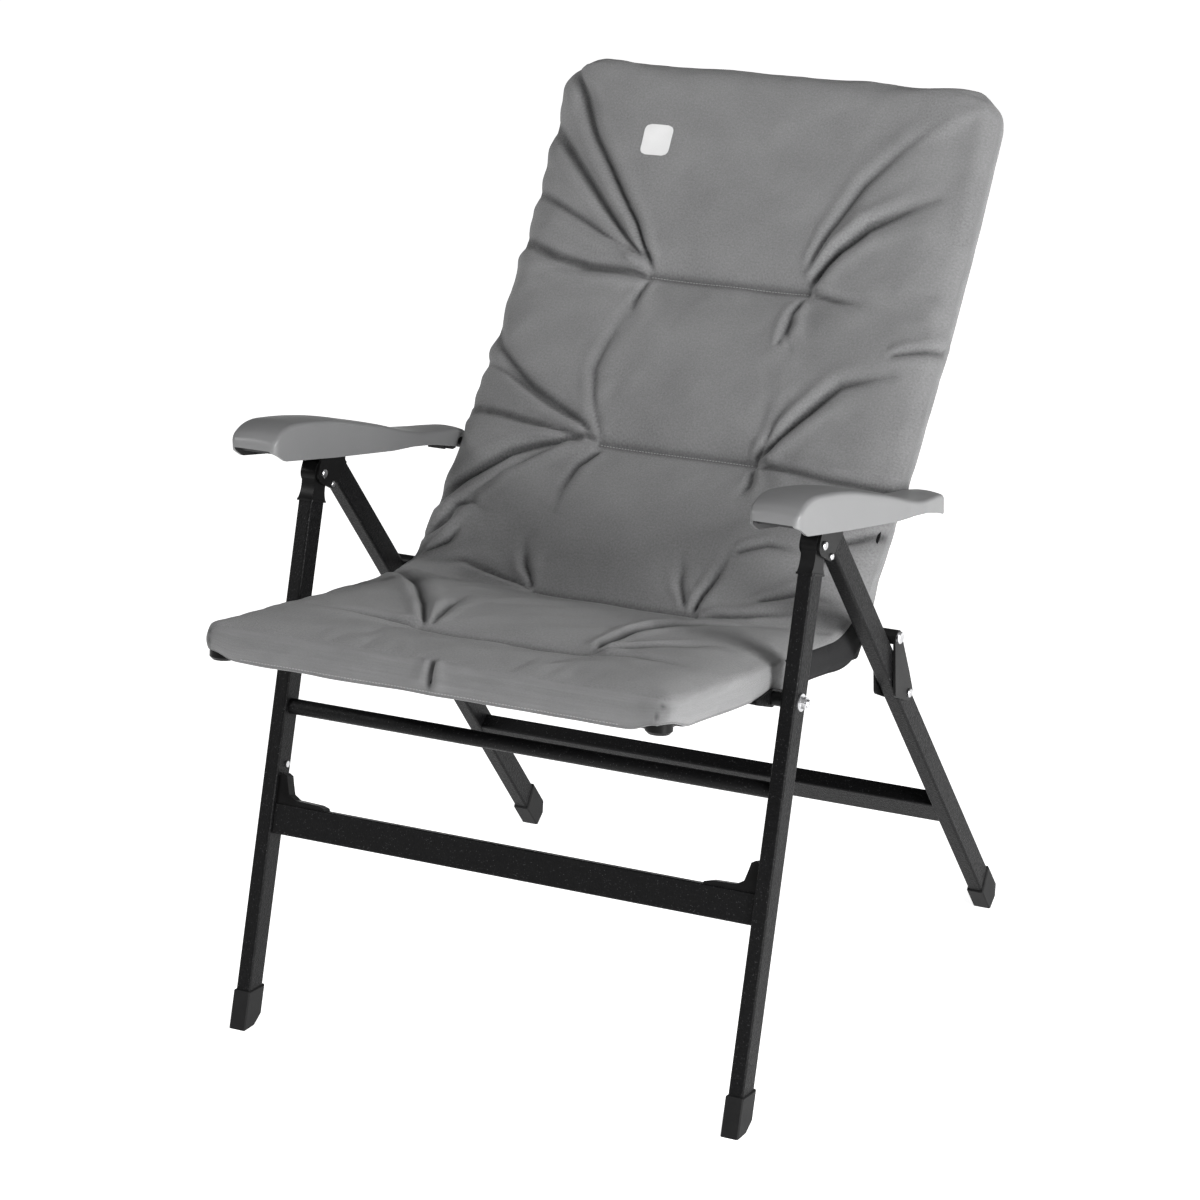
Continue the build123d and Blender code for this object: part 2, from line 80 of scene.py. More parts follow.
def make_camera():
    azimuth, elevation, roll = (math.radians(a) for a in CAMERA_ANGLES)
    back = Vector((math.sin(azimuth) * math.cos(elevation), -math.cos(azimuth) * math.cos(elevation),
                   math.sin(elevation)))
    level_right = Vector((math.cos(azimuth), math.sin(azimuth), 0))
    level_up = back.cross(level_right)
    right = math.cos(roll) * level_right + math.sin(roll) * level_up
    up = math.cos(roll) * level_up - math.sin(roll) * level_right
    camera = bpy.data.objects.new("camera", bpy.data.cameras.new("camera"))
    bpy.context.scene.collection.objects.link(camera)
    place = CAMERA_PLACE
    camera.matrix_world = Matrix((
        (right.x, up.x, back.x, place[0]),
        (right.y, up.y, back.y, place[1]),
        (right.z, up.z, back.z, place[2]),
        (0, 0, 0, 1),
    ))
    camera.data.lens = CAMERA_LENS
    camera.data.sensor_width = CAMERA_SENSOR
    camera.data.clip_start = CAMERA_NEAR
    camera.data.clip_end = CAMERA_FAR
    bpy.context.scene.camera = camera


def area_light(name, size, power, place):
    data = bpy.data.lights.new(name, "AREA")
    data.shape = "RECTANGLE"
    data.size, data.size_y = size
    data.energy = power
    lamp = bpy.data.objects.new(name, data)
    bpy.context.scene.collection.objects.link(lamp)
    lamp.location = place
    lamp.rotation_mode = "QUATERNION"
    lamp.rotation_quaternion = (Vector(LIGHT_TARGET) - Vector(place)).to_track_quat("-Z", "Y")


def make_stage():
    world = bpy.data.worlds.new("studio")
    bpy.context.scene.world = world
    world.use_nodes = True
    world.node_tree.nodes["Background"].inputs["Color"].default_value = (1, 1, 1, 1)
    world.node_tree.nodes["Background"].inputs["Strength"].default_value = WORLD_LIGHT
    bpy.context.scene.view_settings.view_transform = "Standard"

    mesh = bpy.data.meshes.new("floor")
    corners = [(x * FLOOR_HALF, y * FLOOR_HALF, 0) for x, y in ((-1, -1), (1, -1), (1, 1), (-1, 1))]
    mesh.from_pydata(corners, [], [(0, 1, 2, 3)])
    floor = bpy.data.objects.new("floor", mesh)
    bpy.context.scene.collection.objects.link(floor)
    material, _, _, shader = new_material("floor_white")
    shader.inputs["Base Color"].default_value = (0.9, 0.9, 0.9, 1)
    shader.inputs["Roughness"].default_value = 0.9
    shader.inputs["Emission Color"].default_value = (1, 1, 1, 1)
    shader.inputs["Emission Strength"].default_value = FLOOR_GLOW
    mesh.materials.append(material)

    for name, size, power, place in LIGHTS:
        area_light(name, size, power, place)


# ========================================================================================
# Materials
# ========================================================================================
NOISE_LOW, NOISE_HIGH = 0.3, 0.7  # nearly all of a noise's values lie between these
BLACK_SPECULAR = 0.11  # black paint and plastic would otherwise mirror the white floor


def new_material(name):
    material = bpy.data.materials.new(name)
    material.use_nodes = True
    nodes = material.node_tree.nodes
    return material, nodes, material.node_tree.links.new, nodes["Principled BSDF"]


def add_node(nodes, kind, **settings):
    made = nodes.new(kind)
    for key, value in settings.items():
        if key in made.inputs:
            made.inputs[key].default_value = value
        else:
            setattr(made, key, value)
    return made


def noise_node(nodes, link, place, scale, detail=2.0, roughness=0.5):
    made = nodes.new("ShaderNodeTexNoise")
    made.inputs["Scale"].default_value = scale
    made.inputs["Detail"].default_value = detail
    made.inputs["Roughness"].default_value = roughness
    link(place, made.inputs["Vector"])
    return made.outputs["Fac"]


def math_node(nodes, link, operation, a, b=None):
    made = nodes.new("ShaderNodeMath")
    made.operation = operation
    for socket, value in zip(made.inputs, (a, b)):
        if value is None:
            continue
        if isinstance(value, (int, float)):
            socket.default_value = value
        else:
            link(value, socket)
    return made.outputs["Value"]


def ramp_node(nodes, link, fac, dark, light, low=NOISE_LOW, high=NOISE_HIGH):
    """Colour from dark to light as fac goes from low to high."""
    made = nodes.new("ShaderNodeMapRange")
    made.inputs["From Min"].default_value = low
    made.inputs["From Max"].default_value = high
    link(fac, made.inputs["Value"])
    mix = nodes.new("ShaderNodeMix")
    mix.data_type = "RGBA"
    mix.inputs["A"].default_value = (*dark, 1)
    mix.inputs["B"].default_value = (*light, 1)
    link(made.outputs["Result"], mix.inputs["Factor"])
    return mix.outputs["Result"]


def stops_node(nodes, link, fac, stops):
    """Colour by fac through three stops, each a position and a colour."""
    made = nodes.new("ShaderNodeValToRGB")
    steps = made.color_ramp.elements
    for step, (position, colour) in zip((steps[0], steps[1]), (stops[0], stops[2])):
        step.position = position
        step.color = (*colour, 1)
    middle = steps.new(stops[1][0])
    middle.color = (*stops[1][1], 1)
    link(fac, made.inputs[0])
    return made.outputs[0]


def range_node(nodes, link, fac, to_low, to_high, low=NOISE_LOW, high=NOISE_HIGH):
    made = nodes.new("ShaderNodeMapRange")
    for socket, value in zip(("From Min", "From Max", "To Min", "To Max"), (low, high, to_low, to_high)):
        made.inputs[socket].default_value = value
    link(fac, made.inputs["Value"])
    return made.outputs["Result"]


def bump_node(nodes, link, shader, height, distance, strength=1.0):
    made = nodes.new("ShaderNodeBump")
    made.inputs["Distance"].default_value = distance
    made.inputs["Strength"].default_value = strength
    link(height, made.inputs["Height"])
    link(made.outputs["Normal"], shader.inputs["Normal"])


def rest_place(nodes):
    return nodes.new("ShaderNodeTexCoord").outputs["Object"]


def woven(name, dark, light, pitch=1.1 * MM, sheen=0.25, specular=0.5):
    """Plain-woven polyester. The weave, and the shade painted into the creases and seams, follow attributes
    stored on the mesh.
    """
    material, nodes, link, shader = new_material(name)
    cloth = add_node(nodes, "ShaderNodeAttribute", attribute_name="cloth").outputs["Vector"]
    split = nodes.new("ShaderNodeSeparateXYZ")
    link(cloth, split.inputs[0])
    turns = 2 * math.pi / pitch
    warp = math_node(nodes, link, "SINE", math_node(nodes, link, "MULTIPLY", split.outputs["X"], turns))
    weft = math_node(nodes, link, "SINE", math_node(nodes, link, "MULTIPLY", split.outputs["Y"], turns))
    weave = math_node(nodes, link, "MULTIPLY", warp, weft)
    slub = noise_node(nodes, link, cloth, 480, 4, 0.75)
    broad = noise_node(nodes, link, cloth, 14, 3, 0.55)
    tone = math_node(nodes, link, "ADD", math_node(nodes, link, "MULTIPLY", slub, 0.75),
                     math_node(nodes, link, "MULTIPLY", broad, 0.25))
    tone = math_node(nodes, link, "ADD", tone, math_node(nodes, link, "MULTIPLY", weave, 0.06))
    # The crease attribute darkens the colour: painted shade in the folds and the tack seams' grooves, dark
    # lines down the front corners and along the hem, and a slightly darker front boxing.
    painted_shade_and_dark_lines = add_node(nodes, "ShaderNodeAttribute", attribute_name="crease").outputs["Fac"]
    tone = math_node(nodes, link, "SUBTRACT", tone, math_node(nodes, link, "MULTIPLY", painted_shade_and_dark_lines, 0.4))
    # deep is the darkest stop, which the painted shade pulls the colour towards.
    deep = tuple(value * 0.42 for value in dark)
    colour = stops_node(nodes, link, tone, ((0.05, deep), (0.32, dark), (0.68, light)))
    link(colour, shader.inputs["Base Color"])
    link(range_node(nodes, link, broad, 0.72, 0.86), shader.inputs["Roughness"])
    shader.inputs["Specular IOR Level"].default_value = specular
    shader.inputs["Sheen Weight"].default_value = sheen
    shader.inputs["Sheen Roughness"].default_value = 0.45
    height = math_node(nodes, link, "ADD", math_node(nodes, link, "MULTIPLY", weave, 0.5), slub)
    bump_node(nodes, link, shader, height, 0.4 * MM, 0.8)
    return material


def moulded(name, dark, light):
    """Satin moulding with a fine spark-eroded grain and slow changes of tone."""
    material, nodes, link, shader = new_material(name)
    place = rest_place(nodes)
    broad = noise_node(nodes, link, place, 9, 3)
    grain = noise_node(nodes, link, place, 1500, 2, 0.6)
    tone = math_node(nodes, link, "ADD", math_node(nodes, link, "MULTIPLY", broad, 0.7),
                     math_node(nodes, link, "MULTIPLY", grain, 0.3))
    link(ramp_node(nodes, link, tone, dark, light), shader.inputs["Base Color"])
    link(range_node(nodes, link, broad, 0.36, 0.46), shader.inputs["Roughness"])
    bump_node(nodes, link, shader, grain, 0.12 * MM, 0.5)
    return material


def hammered_black(name):
    """Black powder coat with a pebbled texture, and pale specks painted into its colour as glints."""
    material, nodes, link, shader = new_material(name)
    place = rest_place(nodes)
    pebble = add_node(nodes, "ShaderNodeTexVoronoi", Scale=620.0)
    link(place, pebble.inputs["Vector"])
    fine = noise_node(nodes, link, place, 420, 3)
    link(range_node(nodes, link, fine, 0.34, 0.55), shader.inputs["Roughness"])
    shader.inputs["Specular IOR Level"].default_value = BLACK_SPECULAR
    height = math_node(nodes, link, "ADD", pebble.outputs["Distance"],
                       math_node(nodes, link, "MULTIPLY", fine, 0.6))
    glint = range_node(nodes, link, pebble.outputs["Distance"], 1.0, 0.0, low=0.0, high=0.35)
    chosen = range_node(nodes, link, fine, 0.0, 1.0, low=0.5, high=0.62)
    painted_glint_mask = math_node(nodes, link, "MULTIPLY", glint, chosen)
    # spark is the colour of the painted glints
    paint, spark = (0.005, 0.005, 0.0053), (0.085, 0.085, 0.088)
    link(ramp_node(nodes, link, painted_glint_mask, paint, spark, low=0.1, high=0.8), shader.inputs["Base Color"])
    bump_node(nodes, link, shader, height, 0.35 * MM, 0.8)
    return material


def satin_black(name, tone=0.005, rough=(0.28, 0.42)):
    """Black moulded plastic with a soft grain."""
    material, nodes, link, shader = new_material(name)
    place = rest_place(nodes)
    broad = noise_node(nodes, link, place, 30, 3)
    grain = noise_node(nodes, link, place, 1300, 2)
    dark, light = (tone, tone, tone), (tone * 1.7, tone * 1.7, tone * 1.75)
    link(ramp_node(nodes, link, broad, dark, light), shader.inputs["Base Color"])
    link(range_node(nodes, link, broad, *rough), shader.inputs["Roughness"])
    shader.inputs["Specular IOR Level"].default_value = BLACK_SPECULAR
    bump_node(nodes, link, shader, grain, 0.1 * MM, 0.5)
    return material


def zinc(name):
    """Bright zinc-plated steel with faint turning marks and dull patches."""
    material, nodes, link, shader = new_material(name)
    place = rest_place(nodes)
    broad = noise_node(nodes, link, place, 160, 3)
    marks = noise_node(nodes, link, place, 2200, 2)
    link(ramp_node(nodes, link, broad, (0.5, 0.5, 0.51), (0.72, 0.72, 0.73)), shader.inputs["Base Color"])
    shader.inputs["Metallic"].default_value = 1.0
    link(range_node(nodes, link, broad, 0.24, 0.4), shader.inputs["Roughness"])
    bump_node(nodes, link, shader, marks, 0.05 * MM, 0.5)
    return material


def thread(name):
    """Light grey polyester thread."""
    material, nodes, link, shader = new_material(name)
    place = rest_place(nodes)
    twist = noise_node(nodes, link, place, 1800, 2)
    link(ramp_node(nodes, link, twist, (0.3, 0.3, 0.3), (0.42, 0.42, 0.42)), shader.inputs["Base Color"])
    shader.inputs["Roughness"].default_value = 0.6
    bump_node(nodes, link, shader, twist, 0.08 * MM, 0.6)
    return material


COVER_GREY = woven("cover_grey", (0.135, 0.135, 0.137), (0.268, 0.268, 0.27))
# Black lining on the cover's rear; the same black is put on the cover's sides beside the hinge as painted
# shade under the armrests.
LINING_AND_SIDE_SHADE = woven("cover_lining_and_side_shade", (0.01, 0.01, 0.0105), (0.024, 0.024, 0.025), pitch=1.4 * MM, sheen=0.02,
               specular=0.12)
THREAD = thread("cover_thread")
PRINT = moulded("patch_print", (0.66, 0.66, 0.66), (0.76, 0.76, 0.76))
ARM_GREY = moulded("armrest_grey", (0.16, 0.161, 0.163), (0.19, 0.191, 0.193))
# A darker copy of the armrest grey: painted shade for the inside of the hollow moulding and its ribs.
ARM_PAINTED_SHADE = moulded("armrest_inside", (0.018, 0.018, 0.019), (0.028, 0.028, 0.029))
FINISHES = {
    "armrest_plastic": ARM_GREY,
    "frame_paint": hammered_black("frame_black"),
    "black_plastic": satin_black("moulded_black"),
    "foot_plastic": satin_black("foot_black", 0.008, (0.42, 0.58)),
    "bright_hardware": zinc("hardware_zinc"),
}


def paint_frame():
    """Gives every CAD node the finish of its material slot."""
    for node in frame["nodes"].values():
        for held in node.material_slots:
            held.material = FINISHES.get(held.material.name.split(".")[0], held.material)


# ========================================================================================
# Cover: one padded grey cover over the seat and back frames
# ========================================================================================
def seat_point(along, up):
    """(y, z) of a point of the seat, along it from the hinge and up from the hinge line."""
    return np.array([
        HINGE_Y + along * math.cos(SEAT_SLOPE) + up * math.sin(SEAT_SLOPE),
        HINGE_Z - along * math.sin(SEAT_SLOPE) + up * math.cos(SEAT_SLOPE),
    ])


def back_point(up, ahead):
    """(y, z) of a point of the back, up it from the hinge and ahead of its curved rear line."""
    forward = ahead - 10 * MM + (up - BULGE_AT) ** 2 / (2 * BULGE_RADIUS)
    return np.array([
        HINGE_Y + up * math.sin(BACK_RECLINE) - forward * math.cos(BACK_RECLINE),
        HINGE_Z + up * math.cos(BACK_RECLINE) + forward * math.sin(BACK_RECLINE),
    ])


def bezier(points, t):
    """Point at t of a Bezier curve with any number of control points."""
    order = len(points) - 1
    return sum(math.comb(order, n) * (1 - t) ** (order - n) * t ** n * p for n, p in enumerate(points))


# How far along the cloth a point is, measured from the seat's front edge over the crease to the top.
CREASE_START, CREASE_END = 345 * MM, 445 * MM
TOP_EDGE = 970 * MM
FRONT_EDGE = 4 * MM
SEAT_AHEAD = 420 * MM  # the seat's front edge is this far ahead of the hinge
BACK_LOW = 55 * MM  # where the flat of the back starts
PAD_TOP, PAD_FRONT = 4 * MM, 28 * MM  # front surface of the seat and of the back
SEAT_BOTTOM, BACK_REAR = -30 * MM, -1 * MM
HALF_SEAT, HALF_BACK = 251 * MM, 251.5 * MM
TOP_CORNER, FRONT_CORNER = 27 * MM, 9 * MM  # radius of the outline's corners
CREASE_FROM_HINGE = CREASE_START - SEAT_AHEAD
CREASE_FRONT = [seat_point(CREASE_FROM_HINGE, PAD_TOP), seat_point(-33 * MM, PAD_TOP),
                back_point(BACK_LOW, PAD_FRONT)]
CREASE_REAR = [seat_point(CREASE_FROM_HINGE, SEAT_BOTTOM), seat_point(-8 * MM, -36 * MM),
               back_point(-6 * MM, -24 * MM), back_point(BACK_LOW, BACK_REAR)]


def front_point(along):
    """(y, z) of the cover's front line."""
    if along < CREASE_START:
        return seat_point(along - SEAT_AHEAD, PAD_TOP)
    if along < CREASE_END:
        return bezier(CREASE_FRONT, (along - CREASE_START) / (CREASE_END - CREASE_START))
    return back_point(along - CREASE_END + BACK_LOW, PAD_FRONT)


def rear_point(along):
    """(y, z) of the cover's rear line."""
    if along < CREASE_START:
        return seat_point(along - SEAT_AHEAD, SEAT_BOTTOM)
    if along < CREASE_END:
        return bezier(CREASE_REAR, (along - CREASE_START) / (CREASE_END - CREASE_START))
    return back_point(along - CREASE_END + BACK_LOW, BACK_REAR)


def half_width(along):
    """Half the cover's width, drawn in at its rounded corners."""
    share = min(max((along - CREASE_START) / (CREASE_END - CREASE_START), 0), 1)
    full = HALF_SEAT + (HALF_BACK - HALF_SEAT) * share
    for near, radius in ((TOP_EDGE - along, TOP_CORNER), (along - FRONT_EDGE, FRONT_CORNER)):
        if near < radius:
            full -= radius - math.sqrt(max(radius ** 2 - (radius - near) ** 2, 0)) * 0.96
    return full


def smooth(x, low, high):
    """0 below low, 1 above high, and an S between them."""
    share = np.clip((x - low) / (high - low), 0, 1)
    return share * share * (3 - 2 * share)


BACK_ROLL, SEAT_ROLL, FRONT_ROLL = 19 * MM, 5 * MM, 3 * MM  # radius of the turn into the boxing
SIDE_SHADE_START, SIDE_SHADE_END = 238 * MM, 408 * MM  # the cover's sides beside the hinge take the black lining: painted shade under the armrests
ROWS, COLUMNS, LAYERS = 192, 100, 7
SIDE_BOXING, FRONT_BOXING, TOP_BOXING = 32 * MM, 34 * MM, 30 * MM  # how deep the cloth of the boxing is
SIDE_BULGE, FRONT_BULGE, TOP_BULGE = 2.2 * MM, 2 * MM, 9 * MM
FRONT_PUSH = 7 * MM  # the front boxing leans out towards its hem
CORNER_FROM, CORNER_TO = 212 * MM, 240 * MM  # the hem lifts between these at the front corners
CORNER_NEAR, CORNER_FAR = 6 * MM, 46 * MM
CORNER_LIFT = 9 * MM


def rolled(near, radius):
    """How far the front surface has turned back at a distance from its edge."""
    turn = radius - max(min(near, radius), radius * 0.06)
    return radius - math.sqrt(radius ** 2 - turn ** 2)


def cover_lattice():
    """The surface of a bent box: positions, cloth coordinates, quads, and which quads are black."""
    keys = {}
    points, cloth = [], []
    stations = np.linspace(FRONT_EDGE, TOP_EDGE, ROWS + 1)
    fronts = [front_point(a) for a in stations]
    rears = [rear_point(a) for a in stations]
    widths = [half_width(a) for a in stations]

    def vertex(row, column, layer):
        key = (row, column, layer)
        if key in keys:
            return keys[key]
        depth = layer / LAYERS
        across = 2 * column / COLUMNS - 1
        x = across * widths[row]
        along = stations[row]
        through = rears[row] - fronts[row]
        side_roll = SEAT_ROLL + (BACK_ROLL - SEAT_ROLL) * smooth(along, CREASE_START, CREASE_END)
        drop = max(rolled(widths[row] - abs(x), side_roll), rolled(along - FRONT_EDGE, FRONT_ROLL))
        first = fronts[row] + through / np.linalg.norm(through) * drop
        y, z = first * (1 - depth) + rears[row] * depth
        swell = math.sin(math.pi * min(depth * 1.05, 1))
        cloth_x, cloth_y = x, along
        if column in (0, COLUMNS):
            x += math.copysign(SIDE_BULGE * swell, across)
            cloth_x += math.copysign(depth * SIDE_BOXING, across)
        if row == 0:
            y -= FRONT_PUSH * (1 - (1 - depth) ** 2) + FRONT_BULGE * swell
            cloth_y -= depth * FRONT_BOXING
        if row == ROWS:
            y += TOP_BULGE * swell * math.sin(BACK_RECLINE)
            z += TOP_BULGE * swell * math.cos(BACK_RECLINE)
            cloth_y += depth * TOP_BOXING
        edge = smooth(abs(x), CORNER_FROM, CORNER_TO)
        z += CORNER_LIFT * edge * (1 - smooth(along, CORNER_NEAR, CORNER_FAR)) * depth
        keys[key] = len(points)
        points.append((x, y, z))
        cloth.append((cloth_x, cloth_y, depth))
        return keys[key]

    quads, lined = [], []

    def quad(a, b, c, d, black=False):
        quads.append(tuple(vertex(*corner) for corner in (a, b, c, d)))
        lined.append(black)

    for i in range(ROWS):
        for j in range(COLUMNS):
            quad((i, j, 0), (i, j + 1, 0), (i + 1, j + 1, 0), (i + 1, j, 0))
            quad((i, j, LAYERS), (i + 1, j, LAYERS), (i + 1, j + 1, LAYERS), (i, j + 1, LAYERS), True)
    for k in range(LAYERS):
        for i in range(ROWS):
            # beside the hinge the sides take the black lining as painted shade
            painted_side_shade = SIDE_SHADE_START < stations[i] < SIDE_SHADE_END
            quad((i, 0, k), (i + 1, 0, k), (i + 1, 0, k + 1), (i, 0, k + 1), painted_side_shade)
            quad((i, COLUMNS, k), (i, COLUMNS, k + 1), (i + 1, COLUMNS, k + 1), (i + 1, COLUMNS, k), painted_side_shade)
        for j in range(COLUMNS):
            quad((0, j, k), (0, j, k + 1), (0, j + 1, k + 1), (0, j + 1, k))
            quad((ROWS, j, k), (ROWS, j + 1, k), (ROWS, j + 1, k + 1), (ROWS, j, k + 1))
    return np.array(points), np.array(cloth), quads, lined


# Tack seams: how far along the cloth, half length, how deep they pull in.
SEAMS = [(738 * MM, 92 * MM, 12.5 * MM), (545 * MM, 90 * MM, 12.5 * MM), (368 * MM, 92 * MM, 8 * MM),
         (137 * MM, 93 * MM, 8 * MM)]


def seam_distance(x, along, at, half):
    """Distance on the cloth to one seam."""
    beyond = np.maximum(np.abs(x) - half, 0)
    return np.hypot(beyond, along - at)


def nearest_seam(x, along):
    """Distance on the cloth to the nearest seam."""
    return np.min([seam_distance(x, along, at, half) for at, half, _ in SEAMS], axis=0)


def tack_in(x, along):
    """How far the tack seams pull the front of the cover in: steeply from above, gently from below."""
    depth = np.zeros_like(x)
    for at, half, deep in SEAMS:
        away = seam_distance(x, along, at, half) / MM
        above = smooth(along - at, -4 * MM, 4 * MM)
        steep = 0.7 * np.exp(-(away / 7) ** 2) + 0.3 * np.exp(-(away / 18) ** 2)
        gentle = 0.5 * np.exp(-(away / 8) ** 2) + 0.5 * np.exp(-(away / 34) ** 2)
        lip = 0.3 * np.exp(-((away - 21) / 11) ** 2) * above
        depth += deep * (steep * above + gentle * (1 - above) - lip)
    return depth


def vertex_normals(points, quads):
    """Outward unit vectors. A quad's share of its corners' normals goes by its area."""
    q = np.array(quads)
    n = np.cross(points[q[:, 2]] - points[q[:, 0]], points[q[:, 3]] - points[q[:, 1]])
    total = np.zeros_like(points)
    for corner in range(4):
        np.add.at(total, q[:, corner], n)
    return total / np.maximum(np.linalg.norm(total, axis=1), 1e-12)[:, None]


def new_mesh_object(name, points, faces):
    mesh = bpy.data.meshes.new(name)
    mesh.from_pydata([tuple(p) for p in points], [], faces)
    mesh.update()
    made = bpy.data.objects.new(name, mesh)
    bpy.context.scene.collection.objects.link(made)
    return made


def get_points(mesh):
    flat = np.zeros(len(mesh.vertices) * 3)
    mesh.vertices.foreach_get("co", flat)
    return flat.reshape(-1, 3)


def set_points(mesh, points):
    mesh.vertices.foreach_set("co", np.asarray(points, np.float32).ravel())
    mesh.update()


CLOTH_FRAMES = 20
CLOTH_SETTINGS = {
    "quality": 6, "mass": 0.25, "air_damping": 1.5, "tension_stiffness": 12, "compression_stiffness": 10,
    "shear_stiffness": 4, "bending_stiffness": 2.0, "vertex_group_mass": "held", "pin_stiffness": 1,
    "use_pressure": True, "uniform_pressure_force": 4, "shrink_min": -0.002,
}
SLIDE_LIMIT = 5 * MM  # how far the cloth may shift along itself


def simulate(made, points, held, outward, cap_out, cap_in):
    """Inflates the cover as cloth with slack, then limits how far each point may have moved."""
    group = made.vertex_groups.new(name="held")
    for weight in np.unique(np.round(held, 2)):
        group.add(np.nonzero(np.round(held, 2) == weight)[0].tolist(), float(weight), "REPLACE")
    modifier = made.modifiers.new("cloth", "CLOTH")
    for setting, value in CLOTH_SETTINGS.items():
        setattr(modifier.settings, setting, value)
    modifier.settings.effector_weights.gravity = 0
    modifier.collision_settings.use_self_collision = False
    modifier.point_cache.frame_start = 1
    modifier.point_cache.frame_end = CLOTH_FRAMES + 2
    scene = bpy.context.scene
    for number in range(1, CLOTH_FRAMES + 1):
        scene.frame_set(number)
    evaluated = made.evaluated_get(bpy.context.evaluated_depsgraph_get())
    moved = get_points(evaluated.data) - points
    made.modifiers.remove(modifier)
    made.vertex_groups.clear()
    scene.frame_set(1)
    out = (moved * outward).sum(1)
    side = moved - out[:, None] * outward
    length = np.linalg.norm(side, axis=1)
    side *= (SLIDE_LIMIT * np.tanh(length / SLIDE_LIMIT) / np.maximum(length, 1e-9))[:, None]
    out = np.where(out > 0, cap_out * np.tanh(out / np.maximum(cap_out, 1e-6)),
                   -cap_in * np.tanh(-out / cap_in))
    return points + side + out[:, None] * outward


# Folds that run out from the ends of the tack seams: points (x, along the cloth) in millimetres,
# then the fold's half width and its depth.
FOLDS = [
    # upper seam, left end
    ([(-90, 745), (-119, 793), (-157, 838), (-196, 883), (-226, 930), (-243, 956)], 6, 3.9),
    ([(-98, 750), (-174, 820), (-232, 872), (-262, 900)], 7, 3.8),
    ([(-106, 755), (-177, 787), (-241, 813), (-270, 826)], 6, 2.2),
    ([(-92, 737), (-162, 737), (-208, 746), (-256, 763)], 7, 3.4),
    ([(-93, 730), (-97, 705), (-94, 686)], 5, 1.5),
    # upper seam, right end
    ([(94, 745), (120, 785), (145, 812), (176, 830), (212, 850)], 7, 3.9),
    ([(90, 760), (104, 805), (129, 857), (165, 900), (202, 938)], 7, 1.8),
    ([(98, 736), (125, 731), (158, 727)], 5, 1.8),
    ([(88, 730), (82, 712), (85, 690), (96, 668)], 5, 1.7),
    # middle seam, left end
    ([(-88, 549), (-108, 592), (-117, 622), (-108, 668), (-98, 700)], 6, 1.3),
    ([(-90, 548), (-138, 550), (-189, 556), (-250, 566)], 6, 3.2),
    ([(-96, 552), (-150, 572), (-214, 604), (-256, 622)], 6, 2.4),
    ([(-100, 556), (-181, 593), (-240, 637), (-262, 668)], 7, 2.8),
    ([(-104, 546), (-125, 541), (-179, 517), (-253, 459)], 8, 4.2),
    ([(-130, 530), (-182, 496), (-240, 430)], 6, 2.2),
    ([(-86, 538), (-101, 514), (-107, 480), (-104, 455)], 6, 1.8),
    # middle seam, right end
    ([(90, 548), (103, 578), (113, 612)], 5, 2.0),
    ([(96, 550), (132, 598), (163, 636), (214, 655)], 7, 3.6),
    ([(94, 543), (142, 538), (184, 533), (250, 534)], 6, 2.4),
    ([(90, 538), (94, 520), (88, 500)], 5, 1.6),
    ([(205, 676), (228, 684), (256, 693)], 5, 1.8),
    ([(80, 672), (84, 695), (90, 718)], 5, 1.1),
    # junction of seat and back
    ([(-96, 372), (-112, 396), (-126, 424)], 5, 2.4),
    ([(-98, 369), (-141, 380), (-184, 392), (-222, 386)], 6, 2.8),
    ([(-236, 400), (-214, 414), (-204, 436)], 5, 2.2),
    ([(-228, 452), (-206, 456), (-184, 446)], 5, 2.0),
    ([(-250, 420), (-228, 436), (-216, 462)], 5, 1.6),
    ([(86, 372), (96, 410), (104, 444)], 5, 2.2),
    ([(108, 440), (140, 452), (176, 450)], 5, 1.8),
    ([(150, 396), (190, 412), (236, 410)], 6, 2.2),
    ([(196, 440), (220, 470), (250, 486)], 6, 2.4),
    ([(76, 378), (62, 405), (54, 434)], 5, 1.8),
    ([(96, 364), (150, 372), (205, 392)], 6, 2.0),
    # seat seam
    ([(-90, 143), (-128, 205), (-187, 290), (-240, 350)], 7, 2.6),
    ([(-84, 148), (-98, 200), (-112, 262)], 6, 1.8),
    ([(-94, 136), (-150, 128), (-205, 124)], 7, 1.5),
    ([(96, 148), (96, 210), (104, 262), (130, 306), (190, 340)], 7, 2.4),
    ([(99, 142), (140, 176), (196, 214)], 7, 1.7),
    ([(97, 134), (150, 128), (208, 116)], 7, 1.4),
    # front boxing
    ([(2, 6), (3, -14), (-2, -34)], 5, 2.2),
]
FOLD_DEPTH = 2.05  # every depth in the list is multiplied by this
OPEN_END = 238 * MM  # folds that end beyond this run out over the cover's side


